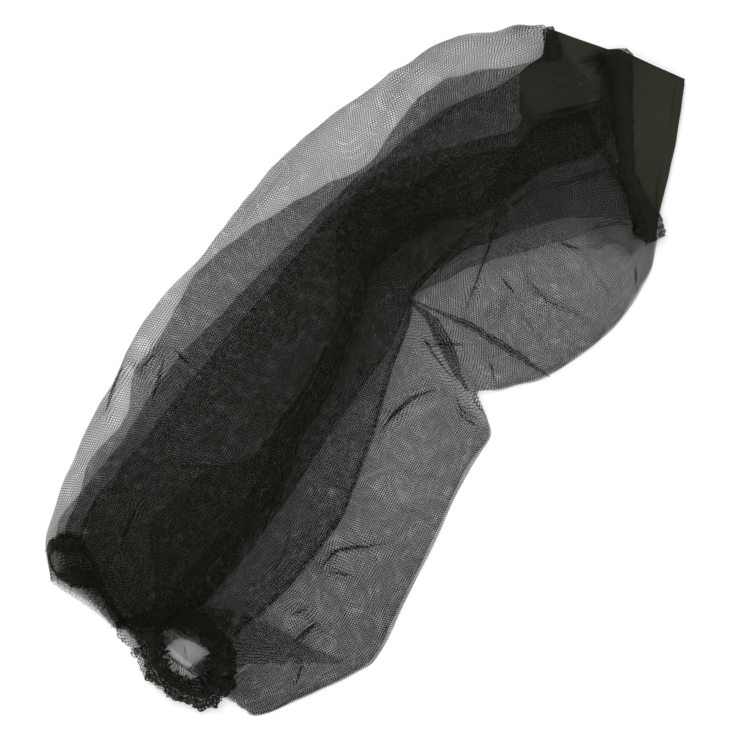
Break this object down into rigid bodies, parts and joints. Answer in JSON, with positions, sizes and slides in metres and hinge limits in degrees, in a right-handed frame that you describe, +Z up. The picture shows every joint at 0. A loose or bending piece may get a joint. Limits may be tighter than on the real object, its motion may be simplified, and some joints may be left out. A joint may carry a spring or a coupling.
{
  "type": "beekeeping veil",
  "caption": "Hat veil of fine black net, folded flat: net tube gathered on an elastic hat opening at one end and on a woven cloth shoulder yoke at the other.",
  "frame": {"origin": "on the table under the middle of the folded veil", "axes": "+X along the veil from the hat opening to the yoke, +Z up from the table"},
  "size_m": [0.6879, 0.34, 0.0342],
  "materials": {
    "net": "matt black net, open mesh",
    "net_seam": "matt black folded net",
    "gathered_net": "matt black gathered net",
    "yoke_cloth": "matt olive black woven cloth",
    "elastic": "black braided elastic",
    "thread": "black sewing thread"
  },
  "bodies": {
    "root": {"net_body": "net", "net_side_seam": "net_seam", "side_seam_stitching": "thread", "hat_elastic": "elastic", "elastic_casing": "gathered_net", "casing_stitching": "thread", "gathered_seam_tape": "gathered_net", "gather_stitching": "thread", "yoke_front_panel": "yoke_cloth", "yoke_back_panel": "yoke_cloth", "yoke_side_seams": "yoke_cloth", "yoke_hem": "yoke_cloth", "hem_stitching": "thread"}
  },
  "joints": []
}
